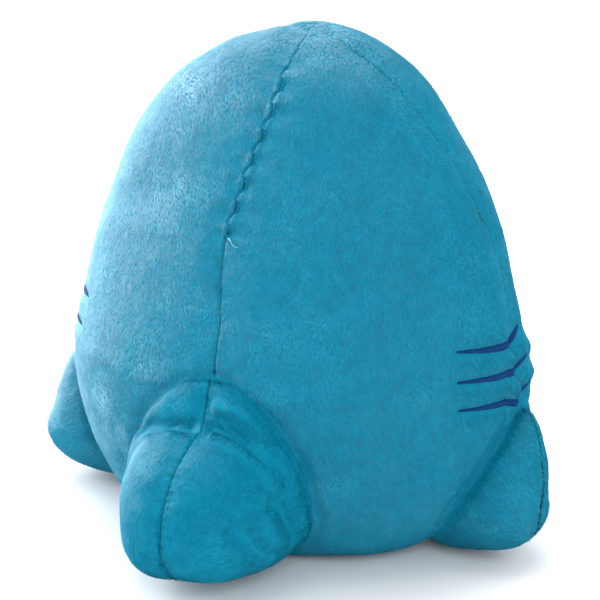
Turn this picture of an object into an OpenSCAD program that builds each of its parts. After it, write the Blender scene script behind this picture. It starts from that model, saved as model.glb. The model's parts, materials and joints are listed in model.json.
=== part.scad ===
// Plush shark, sitting upright, with a stuffed tail behind and a stuffed fin at each side.
// +Z is up, the toy looks along -Y and its own left side is +X. Millimetres.
// Each panel is a closed shell of pile fabric, laid out on a formula for the stuffed outline.

/* [Body] */
// Height of the sitting body
body_h = 168; // [140:1:200]
// Widest half width of the body
body_half_w = 78.5; // [60:0.5:95]
// Depth from the body's middle to its back
back_depth = 58.5; // [45:0.5:75]
// Depth from the body's middle to its belly
belly_depth = 60; // [45:0.5:75]
// Height of the widest level
waist_h = 62; // [45:1:80]
// Size of the flat base against the widest level
base_ratio = 0.55; // [0.4:0.01:0.7]
// How far the top leans forward
lean = 10; // [0:0.5:20]

/* [Tail] */
// How far behind the body's middle the tail reaches
tail_reach = 93; // [80:1:105]
// Half width of the tail where it is sewn on
tail_root_w = 34; // [26:0.5:38]
// Half width of the tail's stuffed lump
tail_lump_w = 29; // [22:0.5:34]
// Height of the tail's arched attachment seam
tail_seam_top = 68; // [55:1:80]
// Height of the tail's stuffed lump
tail_lump_top = 52; // [40:1:60]

/* [Side fins] */
// Reach of each fin from the middle of the toy
fin_reach = 93.5; // [85:0.5:110]
// Half thickness of a fin, front to back
fin_half_t = 18; // [10:0.5:22]
// Height of the top of a fin's attachment
fin_top = 50; // [35:1:52]
// How far behind the body's middle each fin is sewn on
fin_y = 0; // [-10:0.5:10]
// How far the fin's end is swept back
fin_sweep = 3; // [0:0.5:8]

/* [Gill lines] */
// Heights of the gill lines where they cross the side seam
gill_heights = [72, 62.5, 52];
// Rise of each gill line towards its pointed rear end
gill_rises = [3.8, 3.5, 4.5];
// Length of a gill line behind the side seam, on the toy's left
gill_length_left = 31; // [10:1:32]
// Length of a gill line behind the side seam, on the toy's right
gill_length_right = 22; // [10:1:32]
// Length of a gill line in front of the side seam
gill_front_length = 20; // [6:1:24]
// Width of a gill line at the side seam
gill_w = 3; // [1:0.1:5]

/* [Face] */
// Height of the eyes
eye_h = 103; // [85:1:120]
// Turn of each eye from straight ahead, in degrees
eye_turn = 37; // [20:1:60]
// Radius of an eye
eye_r = 6; // [4:0.5:9]
// Height of the middle of the mouth
mouth_h = 78; // [65:1:95]
// Half turn of the mouth, in degrees
mouth_turn = 27; // [15:1:40]
// Number of felt teeth
teeth = 6; // [2:1:12]
// Height of the belly panel's top edge, as an elevation in degrees
belly_top = 2; // [-20:1:25]
// Half turn of the belly panel at the base, in degrees
belly_turn = 50; // [25:1:70]

/* [Fabric and thread] */
// Thickness of the pile fabric
fabric_t = 2; // [1:0.1:4]
// Gap left between two panels for their seam
seam_gap = 1.2; // [0.8:0.1:2]
// Diameter of the seam thread
thread_d = 0.6; // [0.3:0.1:0.8]
// Slack left between the fabric and the filling
slack = 0.9; // [0.2:0.1:1.5]
// Gap between the body and what is sewn onto it
hem_gap = 1.1; // [0.4:0.1:2]

/* [Hidden] */

// The origin is under the middle of the whole toy, so the body's middle sits forward of it.
body_y = -15.5;
filling = fabric_t + slack;
// Exponents of the outline: side, back and front profiles, the base curve and the lumps.
side_p = 1.72;
back_p = 1;
front_p = 1.76;
base_p = 2.3;
lump_p = 2.3;
fin_low_p = 3;
fin_high_p = 2.1;
arch_p = 1.2;
// Rows up a body panel, columns in a quarter turn, and the elevation where the panels end.
rows = 22;
cols = 8;
apex_deg = 88.4;
tail_mid_h = 22;
tail_low = 0.5;
fin_mid_h = 20;
fin_low = 0.5;
fin_shear = 0.4;

blue = [0.1, 0.56, 0.72];
navy = [0.09, 0.16, 0.42];
pale = [0.9, 0.94, 0.95];
thread_blue = [0.07, 0.4, 0.55];
fibre = [0.95, 0.95, 0.93];
black = [0.05, 0.05, 0.06];

// ---- outline of the stuffed body ----

function power(x, n) = pow(max(x, 0), n);
function round_off(q, n) = pow(max(0, 1 - power(q, n)), 1 / n);
function smooth(x, low, high) =
  let (t = max(0, min(1, (x - low) / (high - low)))) t * t * (3 - 2 * t);
function to_deg(length, radius) = min(34, length / max(radius, 0.5) * 180 / PI);

// Half width, back depth, front depth and middle of the level at height z, d inside the skin.
function level(z, d) =
  let (
    t = min(1, power((z - waist_h) / (body_h - d - waist_h), 1)),
    q = min(1, power((waist_h - z) / (waist_h - d), 1)),
    low = base_ratio + (1 - base_ratio) * round_off(q, base_p),
    upper = z > waist_h
  ) [
    (body_half_w - d) * (upper ? sqrt(1 - power(t, side_p)) : low),
    (back_depth - d) * (upper ? sqrt(1 - power(t, back_p)) : low),
    (belly_depth - d) * (upper ? sqrt(1 - power(t, front_p)) : low),
    body_y - 1 - lean * power(t, 1.5)
  ];

// Height of the level at an elevation of e degrees, from -90 at the base to 90 at the top.
function level_height(e, d) =
  e > 0
    ? waist_h + (body_h - d - waist_h) * pow(sin(e), 1.11)
    : waist_h - (waist_h - d) * pow(sin(-e), 2 / base_p);

// Point at a turn of u degrees (0 is +X, 90 is the back) and height z, d inside the skin.
function at_height(u, z, d) =
  let (l = level(z, d))
  [l[0] * cos(u), l[3] + (sin(u) > 0 ? l[1] : l[2]) * sin(u), z];
function skin(u, e, d) = at_height(u, level_height(e, d), d);

// Where the body's skin is, straight back from x or straight out to the side from y.
function back_y(x, z) =
  let (l = level(z, 0)) l[3] + l[1] * sqrt(max(0, 1 - pow(x / l[0], 2)));
function side_x(y, z) =
  let (l = level(z, 0), r = y > l[3] ? l[1] : l[2])
  l[0] * sqrt(max(0, 1 - pow((y - l[3]) / r, 2)));

// ---- building blocks ----

function unit(v) = v / norm(v);

// Closed shell between an outer and an inner grid of the same shape.
module shell(outer, inner) {
  n = len(outer) - 1;
  m = len(outer[0]) - 1;
  count = (n + 1) * (m + 1);
  function a(i, j) = i * (m + 1) + j;
  function b(i, j) = count + a(i, j);
  points = concat([for (c = outer) each c], [for (c = inner) each c]);
  skins = [for (i = [0:n - 1], j = [0:m - 1]) each [
    [a(i, j), a(i, j + 1), a(i + 1, j + 1)],
    [a(i, j), a(i + 1, j + 1), a(i + 1, j)],
    [b(i, j), b(i + 1, j + 1), b(i, j + 1)],
    [b(i, j), b(i + 1, j), b(i + 1, j + 1)]
  ]];
  ends = [for (i = [0:n - 1]) each [
    [a(i, 0), a(i + 1, 0), b(i + 1, 0)],
    [a(i, 0), b(i + 1, 0), b(i, 0)],
    [a(i + 1, m), a(i, m), b(i, m)],
    [a(i + 1, m), b(i, m), b(i + 1, m)]
  ]];
  sides = [for (j = [0:m - 1]) each [
    [a(0, j + 1), a(0, j), b(0, j)],
    [a(0, j + 1), b(0, j), b(0, j + 1)],
    [a(n, j), a(n, j + 1), b(n, j + 1)],
    [a(n, j), b(n, j + 1), b(n, j)]
  ]];
  polyhedron(points = points, faces = concat(skins, ends, sides), convexity = 6);
}

// Closed solid from rings of points, closed by a fan to one point at each end.
module lofted(rings, start, end) {
  n = len(rings[0]);
  m = len(rings) - 1;
  function a(j, i) = j * n + (i % n);
  first = (m + 1) * n;
  points = concat([for (r = rings) each r], [start, end]);
  walls = [for (j = [0:m - 1], i = [0:n - 1]) each [
    [a(j, i), a(j + 1, i), a(j + 1, i + 1)],
    [a(j, i), a(j + 1, i + 1), a(j, i + 1)]
  ]];
  caps = [for (i = [0:n - 1]) each [
    [first, a(0, i), a(0, i + 1)],
    [first + 1, a(m, i + 1), a(m, i)]
  ]];
  polyhedron(points = points, faces = concat(walls, caps), convexity = 6);
}

// Thread along a path of [point, outward direction], with its own half sizes at each point.
module thread(path, sizes, sides = 6) {
  last = len(path) - 1;
  rings = [for (k = [0:last])
    let (
      along = unit(path[min(last, k + 1)][0] - path[max(0, k - 1)][0]),
      out = unit(path[k][1]),
      across = unit(cross(along, out)),
      s = sizes[min(k, len(sizes) - 1)]
    )
    [for (i = [0:sides - 1])
      path[k][0] + s[0] * cos(360 * i / sides) * out + s[1] * sin(360 * i / sides) * across]
  ];
  lofted(rings, path[0][0], path[last][0]);
}

// Outward direction of the body's skin.
function outward(u, z) = at_height(u, z, -1) - at_height(u, z, 1);

// ---- body panels ----

function elevation(j) = -90 + (apex_deg + 90) * j / rows;

// One column of a back panel, f of the way from the side seam to the back seam.
function back_column(f, d) = [for (j = [0:rows])
  let (
    e = elevation(j),
    l = level(level_height(e, 0), 0),
    from_side = to_deg(seam_gap / 2, l[1]) * pow(1 - f, 3),
    from_back = to_deg(seam_gap / 2, l[0]) * pow(f, 3)
  )
  skin(90 * f + from_side - from_back, e, d)];

module back_panel(side) {
  mirror([side < 0 ? 1 : 0, 0, 0])
    shell([for (i = [0:cols]) back_column(i / cols, 0)],
      [for (i = [0:cols]) back_column(i / cols, fabric_t)]);
}

// Turn and elevation of the belly panel's edge, s degrees along it, shrunk by g degrees.
function belly_edge(s, g) = [
  270 - (belly_turn - g) * sign(cos(s)) * pow(abs(cos(s)), 2 / 2.6),
  -90 + (belly_top + 90 - g) * pow(sin(s), 2 / 2.6)
];
belly_steps = [for (s = [12:12:168]) s];
belly_side_steps = 5;
seam_deg = to_deg(seam_gap, belly_depth);

// Turns of the front panel's columns, and the elevation each starts from.
front_starts = concat(
  [for (i = [0:belly_side_steps]) [180 + (90 - belly_turn) * i / belly_side_steps, -90]],
  [for (s = belly_steps) belly_edge(s, 0)],
  [for (i = [belly_side_steps:-1:0]) [360 - (90 - belly_turn) * i / belly_side_steps, -90]]
);
front_rows = 18;

function front_column(start, d) = [for (j = [0:front_rows])
  let (
    e = start[1] + (apex_deg - start[1]) * j / front_rows,
    f = (start[0] - 180) / 180,
    gap = to_deg(seam_gap / 2, level(level_height(e, 0), 0)[2])
  )
  skin(start[0] + gap * (pow(1 - f, 3) - pow(f, 3)), e, d)];

module front_panel() {
  color(blue)
    shell([for (s = front_starts) front_column(s, 0)],
      [for (s = front_starts) front_column(s, fabric_t)]);
}

belly_rows = 9;
function belly_column(s, d) =
  let (top = belly_edge(s, seam_deg))
  [for (j = [0:belly_rows]) skin(top[0], -90 + (top[1] + 90) * j / belly_rows, d)];

module belly_panel() {
  color(pale)
    shell([for (s = belly_steps) belly_column(s, 0)],
      [for (s = belly_steps) belly_column(s, fabric_t)]);
}

// Edge of the base panel, g inside the body's bottom edge.
function base_edge(u, g, d) =
  let (p = skin(u, -90, d), middle = [0, body_y - 1, p[2]], v = p - middle)
  middle + v * (1 - g / norm(v));

module base_panel() {
  turns = [for (i = [0:4 * cols - 1]) 90 * i / cols];
  color(pale)
    lofted([[for (u = turns) base_edge(u, seam_gap, 0)],
      [for (u = turns) base_edge(u, seam_gap, fabric_t)]],
      [0, body_y - 1, 0], [0, body_y - 1, fabric_t]);
}

module body_stuffing() {
  turns = [for (i = [0:4 * cols - 1]) 90 * i / cols];
  color(fibre)
    lofted([for (j = [0:rows]) [for (u = turns) skin(u, elevation(j), filling)]],
      [0, body_y - 1, filling], skin(90, 90, filling));
}

// ---- seams of the body ----

seam_depth = fabric_t / 2;
thread_size = [[thread_d / 2, thread_d / 2]];

function seam_path(u, first, last) = [for (j = [first:last])
  let (e = elevation(j), p = skin(u, e, seam_depth))
  [p, skin(u, e, 0) - skin(u, e, fabric_t)]];

module side_seam_thread(side) {
  color(thread_blue)
    mirror([side < 0 ? 1 : 0, 0, 0])
      thread(seam_path(0, 3, rows - 1), thread_size);
}

module back_seam_thread() {
  color(thread_blue)
    thread(seam_path(90, 3, rows - 1), thread_size);
}

module belly_seam_thread() {
  path = [for (s = belly_steps)
    let (p = belly_edge(s, seam_deg / 2))
    [skin(p[0], p[1], seam_depth), skin(p[0], p[1], 0) - skin(p[0], p[1], fabric_t)]];
  color(thread_blue)
    thread(path, thread_size);
}

// The base seam's thread leaves a short opening at the back, where its two ends meet.
module base_seam_thread() {
  path = [for (i = [1:4 * cols - 1])
    let (p = base_edge(90 + 90 * i / cols, seam_gap / 2, seam_depth))
    [p, [0, 0, 1]]];
  color(thread_blue)
    thread(path, thread_size);
}

// Hand-sewn closing: a slack thread that crosses the back seam at each ladder stitch.
closing_first = 109;
closing_last = 158;
closing_steps = 14;
closing_swing = 1.5;
module closing_stitch() {
  path = [for (k = [0:closing_steps])
    let (
      z = closing_first + (closing_last - closing_first) * k / closing_steps,
      swing = to_deg(closing_swing, level(z, 0)[0]) * cos(180 * k) * (k % 2 == 0 ? 1 : -1),
      u = 90 + (floor(k / 2) % 2 == 0 ? 1 : -1) * abs(swing)
    )
    [at_height(u, z, -0.45), outward(90, z)]];
  color(thread_blue)
    thread(path, [[0.3, 0.3]], 5);
}

// ---- gill lines ----

gill_steps = 9;
// One run of satin stitching from the side seam to its pointed end.
module gill_run(row, side, rear) {
  rear_length = side > 0 ? gill_length_left : gill_length_right;
  length = rear ? rear_length : gill_front_length;
  l = level(gill_heights[row], 0);
  start = 0.9;
  path = [for (k = [0:gill_steps])
    let (
      f = k / gill_steps,
      turn = to_deg(start + length * f, rear ? l[1] : l[2]),
      z = gill_heights[row] + (rear ? gill_rises[row] : 3.5) * f
    )
    [at_height(rear ? turn : -turn, z, -0.35), outward(rear ? turn : -turn, z)]];
  sizes = [for (k = [0:gill_steps])
    let (f = k / gill_steps)
    [0.65, gill_w / 2 * (1 - 0.82 * pow(f, 1.4))]];
  color(navy)
    mirror([side < 0 ? 1 : 0, 0, 0])
      thread(path, sizes, 8);
}

// ---- face ----

// Place children on the skin at a turn and height, with +Z pointing out of it.
module on_skin(u, z) {
  p = at_height(u, z, 0);
  n = unit(outward(u, z));
  translate(p)
    rotate([0, acos(n[2]), atan2(n[1], n[0])])
      children();
}

module eye(side) {
  shank_r = 1.3;
  shank_l = 8;
  color(black)
    on_skin(270 + side * eye_turn, eye_h) {
      translate([0, 0, -0.6])
        rotate_extrude($fn = 96)
          difference() {
            scale([1, 0.55])
              circle(r = eye_r);
            translate([-2 * eye_r, -eye_r])
              square([2 * eye_r, 2 * eye_r]);
            translate([-eye_r, -2 * eye_r])
              square([3 * eye_r, 2 * eye_r]);
          }
      translate([0, 0, -shank_l])
        cylinder(r = shank_r, h = shank_l);
    }
}

module eye_washer(side) {
  outer_r = 4.5;
  hole_r = 1.45;
  washer_t = 1;
  color(fibre)
    on_skin(270 + side * eye_turn, eye_h)
      translate([0, 0, -filling - washer_t - 0.8])
        difference() {
          cylinder(r = outer_r, h = washer_t);
          translate([0, 0, -1])
            cylinder(r = hole_r, h = washer_t + 2);
        }
}

// Height of the smiling mouth line at a turn u.
function mouth_z(u) = mouth_h + 7 * pow((u - 270) / mouth_turn, 2);

module mouth_stitching() {
  steps = 18;
  path = [for (k = [0:steps])
    let (u = 270 - mouth_turn + 2 * mouth_turn * k / steps)
    [at_height(u, mouth_z(u), -0.75), outward(u, mouth_z(u))]];
  sizes = [for (k = [0:steps])
    let (f = abs(2 * k / steps - 1))
    [0.75, 0.9 * (1 - 0.6 * pow(f, 3))]];
  color(navy)
    thread(path, sizes, 8);
}

// A strip of felt under the mouth line, cut into pointed teeth.
module tooth_strip() {
  columns = 4 * teeth;
  reach = mouth_turn * 0.78;
  function tooth_column(k, d) =
    let (
      u = 270 - reach + 2 * reach * k / columns,
      point = 1 - abs(2 * (k % 4) / 4 - 1),
      top = mouth_z(u) - 0.2,
      bottom = top - 1.6 - 5.2 * point * (1 - 0.35 * pow((u - 270) / reach, 2))
    )
    [for (j = [0:3]) at_height(u, bottom + (top - bottom) * j / 3, d)];
  color(pale)
    shell([for (k = [0:columns]) tooth_column(k, -1.3)],
      [for (k = [0:columns]) tooth_column(k, -0.2)]);
}

// ---- tail ----

tail_steps = 9;
tail_end_deg = 87;
function tail_station(j) = tail_end_deg * j / tail_steps;

// Height of the tail's seam above its middle, and how far out to the side, w degrees round.
function tail_arch(w, d) =
  (sin(w) > 0 ? tail_seam_top - tail_mid_h : tail_mid_h - tail_low) - d;
function tail_side(w) = sign(cos(w)) * pow(abs(cos(w)), arch_p);

// Point of the tail's skin: w degrees round it, s degrees along it from the attachment seam.
function tail_skin(w, s, d) =
  let (
    along = pow(sin(s), 2 / lump_p),
    closing = s < 90 ? pow(cos(s), 2 / lump_p) : 0,
    arch = tail_arch(w, d),
    lump = (sin(w) > 0 ? tail_lump_top - tail_mid_h : tail_mid_h - tail_low) - d,
    half_w = tail_root_w + (tail_lump_w - tail_root_w) * smooth(along, 0, 0.45) - d,
    foot = back_y((tail_root_w - d) * tail_side(w), tail_mid_h + arch * sin(w)) + hem_gap,
    tip = body_y + tail_reach - d,
    height = arch + (lump - arch) * smooth(along, 0, 0.25)
  )
  [
    half_w * tail_side(w) * closing,
    foot + (tip - foot) * along,
    tail_mid_h + height * sin(w) * closing
  ];

function tail_column(f, d) = [for (j = [0:tail_steps])
  let (
    s = tail_station(j),
    gap = to_deg(seam_gap / 2, tail_lump_w * pow(cos(s), 2 / lump_p))
  )
  tail_skin(90 - 180 * f - gap * (pow(1 - f, 3) - pow(f, 3)), s, d)];

module tail_panel(side) {
  n = 14;
  color(blue)
    mirror([side < 0 ? 1 : 0, 0, 0])
      shell([for (i = [0:n]) tail_column(i / n, 0)],
        [for (i = [0:n]) tail_column(i / n, fabric_t)]);
}

module tail_stuffing() {
  turns = [for (i = [0:27]) -360 * i / 28];
  foot = [0, back_y(0, tail_mid_h) + hem_gap, tail_mid_h];
  // The front of the filling follows the body's back.
  function foot_ring(k) = [for (w = turns)
    let (
      x = k * (tail_root_w - filling) * tail_side(w),
      z = tail_mid_h + k * tail_arch(w, filling) * sin(w)
    )
    [x, back_y(x, z) + hem_gap, z]];
  color(fibre)
    lofted(concat([for (k = [0.35, 0.7]) foot_ring(k)],
      [for (j = [0:tail_steps]) [for (w = turns) tail_skin(w, tail_station(j), filling)]]),
      foot, tail_skin(0, 90, filling));
}

// Over the tail's ridge from the body, round its end and back under it.
module tail_seam_thread() {
  function spot(w, s) =
    [tail_skin(w, s, seam_depth), tail_skin(w, s, 0) - tail_skin(w, s, fabric_t)];
  path = concat(
    [for (j = [0:tail_steps]) spot(90, tail_station(j))],
    [for (j = [tail_steps:-1:0]) spot(-90, tail_station(j))]
  );
  color(thread_blue)
    thread(path, thread_size);
}

// ---- side fins, drawn on the +X side ----

fin_steps = 8;
fin_end_deg = 86.5;
function fin_station(j) = fin_end_deg * j / fin_steps;

function fin_root(w, d, k = 1) =
  let (
    reach_z = (sin(w) > 0 ? fin_top - fin_mid_h : fin_mid_h - fin_low) - d,
    rise = k * reach_z * sin(w),
    y = body_y + fin_y + k * (fin_half_t - d) * cos(w) - fin_shear * max(0, rise)
  )
  [side_x(y, fin_mid_h + rise) + hem_gap, y, fin_mid_h + rise];

// Exponent of the fin's outline: fuller under the fin than above it.
function fin_p(w) = fin_low_p + (fin_high_p - fin_low_p) * smooth(sin(w), -0.3, 0.5);

// Point of the fin's skin: w degrees round it, s degrees along it from the body.
function fin_skin(w, s, d) =
  let (
    along = pow(sin(s), 2 / fin_p(w)),
    closing = s < 90 ? pow(cos(s), 2 / fin_p(w)) : 0,
    root = fin_root(w, d),
    mid = [body_y + fin_y, fin_mid_h]
  )
  [
    root[0] + (fin_reach - d - root[0]) * along,
    mid[0] + (root[1] - mid[0]) * closing + fin_sweep * along * along,
    mid[1] + (root[2] - mid[1]) * closing
  ];

function fin_column(first, f, d) = [for (j = [0:fin_steps])
  let (
    s = fin_station(j),
    gap = to_deg(seam_gap / 2, fin_half_t * pow(cos(s), 2 / fin_low_p))
  )
  fin_skin(first + 180 * f + gap * (pow(1 - f, 3) - pow(f, 3)), s, d)];

module fin_panel(side, back) {
  n = 14;
  first = back ? -90 : 90;
  color(blue)
    mirror([side < 0 ? 1 : 0, 0, 0])
      shell([for (i = [0:n]) fin_column(first, i / n, 0)],
        [for (i = [0:n]) fin_column(first, i / n, fabric_t)]);
}

module fin_stuffing(side) {
  turns = [for (i = [0:19]) 18 * i];
  middle = fin_root(0, fin_half_t);
  color(fibre)
    mirror([side < 0 ? 1 : 0, 0, 0])
      lofted(concat([for (k = [0.4, 0.75]) [for (w = turns) fin_root(w, filling, k)]],
        [for (j = [0:fin_steps]) [for (w = turns) fin_skin(w, fin_station(j), filling)]]),
        middle, fin_skin(0, 90, filling));
}

module fin_seam_thread(side) {
  function spot(w, s) =
    [fin_skin(w, s, seam_depth), fin_skin(w, s, 0) - fin_skin(w, s, fabric_t)];
  path = concat(
    [for (j = [0:fin_steps]) spot(90, fin_station(j))],
    [for (j = [fin_steps:-1:0]) spot(-90, fin_station(j))]
  );
  color(thread_blue)
    mirror([side < 0 ? 1 : 0, 0, 0])
      thread(path, thread_size);
}

// ---- the pieces ----

color(blue) back_panel(1);  // back_panel_left
color(blue) back_panel(-1);  // back_panel_right
front_panel();
belly_panel();
base_panel();
body_stuffing();
back_seam_thread();
side_seam_thread(1);  // side_seam_thread_left
side_seam_thread(-1);  // side_seam_thread_right
belly_seam_thread();
base_seam_thread();
closing_stitch();
gill_run(0, 1, true);  // gill_upper_left_rear
gill_run(1, 1, true);  // gill_middle_left_rear
gill_run(2, 1, true);  // gill_lower_left_rear
gill_run(0, 1, false);  // gill_upper_left_front
gill_run(1, 1, false);  // gill_middle_left_front
gill_run(2, 1, false);  // gill_lower_left_front
gill_run(0, -1, true);  // gill_upper_right_rear
gill_run(1, -1, true);  // gill_middle_right_rear
gill_run(2, -1, true);  // gill_lower_right_rear
gill_run(0, -1, false);  // gill_upper_right_front
gill_run(1, -1, false);  // gill_middle_right_front
gill_run(2, -1, false);  // gill_lower_right_front
eye(1);  // eye_left
eye(-1);  // eye_right
eye_washer(1);  // eye_washer_left
eye_washer(-1);  // eye_washer_right
mouth_stitching();
tooth_strip();
tail_panel(1);  // tail_panel_left
tail_panel(-1);  // tail_panel_right
tail_stuffing();
tail_seam_thread();
fin_panel(1, true);  // fin_left_back_panel
fin_panel(1, false);  // fin_left_front_panel
fin_stuffing(1);  // fin_left_stuffing
fin_seam_thread(1);  // fin_left_seam_thread
fin_panel(-1, true);  // fin_right_back_panel
fin_panel(-1, false);  // fin_right_front_panel
fin_stuffing(-1);  // fin_right_stuffing
fin_seam_thread(-1);  // fin_right_seam_thread
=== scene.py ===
"""Plush shark: the looks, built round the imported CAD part.

Work is in millimetres, in the part's own frame, until a mesh is made.
Each fabric panel is a closed shell laid on the same outline as the CAD, rolled in at its seams,
with its pile as a coat of short tufts. Threads, stitches and creases are real geometry.
"""

import json
import math

import bpy
import numpy as np
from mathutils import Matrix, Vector
from mathutils.kdtree import KDTree

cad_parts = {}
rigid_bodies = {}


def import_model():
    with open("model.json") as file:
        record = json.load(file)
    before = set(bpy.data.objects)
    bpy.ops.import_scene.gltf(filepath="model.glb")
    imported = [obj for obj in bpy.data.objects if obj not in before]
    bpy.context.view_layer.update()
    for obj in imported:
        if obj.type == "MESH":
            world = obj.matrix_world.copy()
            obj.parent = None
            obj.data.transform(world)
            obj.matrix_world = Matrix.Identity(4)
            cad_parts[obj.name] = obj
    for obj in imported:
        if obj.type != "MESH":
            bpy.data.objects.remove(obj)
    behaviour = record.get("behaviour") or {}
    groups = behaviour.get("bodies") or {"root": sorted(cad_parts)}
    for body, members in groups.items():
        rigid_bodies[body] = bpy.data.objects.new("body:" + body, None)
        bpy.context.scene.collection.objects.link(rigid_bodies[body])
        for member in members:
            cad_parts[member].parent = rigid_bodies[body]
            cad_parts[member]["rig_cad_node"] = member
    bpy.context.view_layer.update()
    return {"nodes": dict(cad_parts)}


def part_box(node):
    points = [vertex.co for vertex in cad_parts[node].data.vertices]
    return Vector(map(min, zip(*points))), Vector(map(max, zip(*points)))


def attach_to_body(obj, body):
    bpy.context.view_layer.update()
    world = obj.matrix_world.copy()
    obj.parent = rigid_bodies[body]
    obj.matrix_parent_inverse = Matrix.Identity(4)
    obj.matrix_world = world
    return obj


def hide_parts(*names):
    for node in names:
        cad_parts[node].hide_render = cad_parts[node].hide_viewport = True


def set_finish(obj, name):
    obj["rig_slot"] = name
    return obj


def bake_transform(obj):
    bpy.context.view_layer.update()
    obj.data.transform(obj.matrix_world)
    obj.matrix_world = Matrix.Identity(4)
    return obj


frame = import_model()
MM = 0.001

# ---------------------------------------------------------------- sizes, in mm and degrees


def box_mm(node):
    """Lower and upper corner of a CAD node's box."""
    low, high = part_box(node)
    return np.array(low) / MM, np.array(high) / MM


BODY_H = box_mm("back_panel_left")[1][2]
HALF_W = box_mm("front_panel")[1][0]
# The body's middle, its depth behind and in front of that, the height of its fullest level, and
# the base's share of the width there.
BODY_Y = -15.5
BACK, BELLY, WAIST, BASE = 58.5, 60.0, 62.0, 0.55
# How far the top leans forward.
LEAN = 10.0
# Powers of the outline at the sides, the back, the front and the base.
SIDE_P, BACK_P, FRONT_P, BASE_P = 1.72, 1.0, 1.76, 2.3
# The tail: its tip, half widths of its foot and its lump, their tops, the height of its middle,
# and the power of its rounding.
TAIL_TIP = box_mm("tail_panel_left")[1][1]
TAIL_ROOT_W, TAIL_LUMP_W, TAIL_TOP, TAIL_LUMP, TAIL_MID = 34.0, 29.0, 68.0, 53.0, 22.0
TAIL_P = 2.3
# A fin: its tip, half thickness, top, height of its middle, and sweep to the back.
FIN_TIP = box_mm("fin_left_back_panel")[1][0]
FIN_T, FIN_TOP, FIN_MID, FIN_SWEEP = 18.0, 50.0, 20.0, 3.0
# Gap between the floor and the undersides of the tail and fins.
LIFTED = 0.5
# Turns round the body: 0 is the toy's left, 90 its back and 270 its front.
LEFT, REAR, RIGHT, FRONT = 0.0, 90.0, 180.0, 270.0
# Half the gap between two panels at a seam.
SEAM_GAP = 0.04
# The belly panel in degrees: half its width, its height, the power of its rounding and its gap.
BELLY_TURN, BELLY_RISE, BELLY_P, BELLY_GAP = 50, 92, 2.6, 0.08
# The gill lines: heights at the side seams, climbs to the rear and to the front, and lengths.
GILL_NAMES = ("upper", "middle", "lower")
GILL_Z = (72.0, 62.5, 52.0)
GILL_RISE = (3.8, 3.5, 4.5)
GILL_FRONT_RISE = 3.5
GILL_REAR = {1: (34.8, 36.2, 33.0), -1: (25.7, 27.4, 29.0)}
GILL_FRONT = 7.5
# The mouth's half width, its height and how far its corners rise, and the eyes' place and size.
MOUTH_TURN, MOUTH_Z, MOUTH_RISE = 27.0, 78.0, 7
EYE_TURN, EYE_Z, EYE_R = 37.0, 103.0, 6.6
# Hand-sewn closing of the back seam, as heights on the back, and one stitch of it.
CLOSING = (109.0, 158.0)
CLOSING_STEP = 7.0
# The backing lies this far inside the outline, so that the pile's tips reach it.
PILE_DEPTH = 0.6
# Thickness of the pile fabric and of the felt.
FABRIC, FELT = 1.3, 0.95
# Radii of the sewing thread and of the embroidery thread, and the embroidery's pitch.
THREAD_R, SATIN_R, SATIN_PITCH = 0.17, 0.21, 0.34

# ---------------------------------------------------------------- small tools


def power(x, n):
    return np.power(np.maximum(x, 0), n)


def unit(v):
    return v / np.maximum(np.linalg.norm(v, axis=-1, keepdims=True), 1e-9)


def dot(a, b):
    return (a * b).sum(-1)


def smooth(x, low, high):
    t = np.clip((x - low) / (high - low), 0, 1)
    return t * t * (3 - 2 * t)


def bell(q, width):
    return np.exp(-((q / width) ** 2))


def noise(p, size, seed):
    """Smooth noise from -1 to 1 at points p, with lumps about size across."""
    q = np.asarray(p, float) / size + seed * 17.31
    cell = np.floor(q).astype(np.int64)
    f = q - cell
    f = f * f * (3 - 2 * f)
    total = 0
    for k in range(8):
        corner = np.array([k & 1, (k >> 1) & 1, (k >> 2) & 1])
        c = cell + corner
        h = c[..., 0] * 374761393 + c[..., 1] * 668265263 + c[..., 2] * 1274126177
        h = (h + seed * 144665) & 0xFFFFFFFF
        h = ((h ^ (h >> 13)) * 1274126177) & 0xFFFFFFFF
        value = ((h ^ (h >> 16)) & 0xFFFF) / 32767.5 - 1
        weight = np.prod(np.where(corner == 1, f, 1 - f), axis=-1)
        total = total + value * weight
    return total


def length_along(points):
    """Length along a path up to each of its points."""
    return np.concatenate([[0], np.cumsum(np.linalg.norm(np.diff(points, axis=0), axis=1))])


def along_path(t, length, values):
    """Points or directions at lengths t, where length says how far along each value is."""
    return np.stack([np.interp(t, length, values[:, k]) for k in range(3)], -1)


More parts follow.
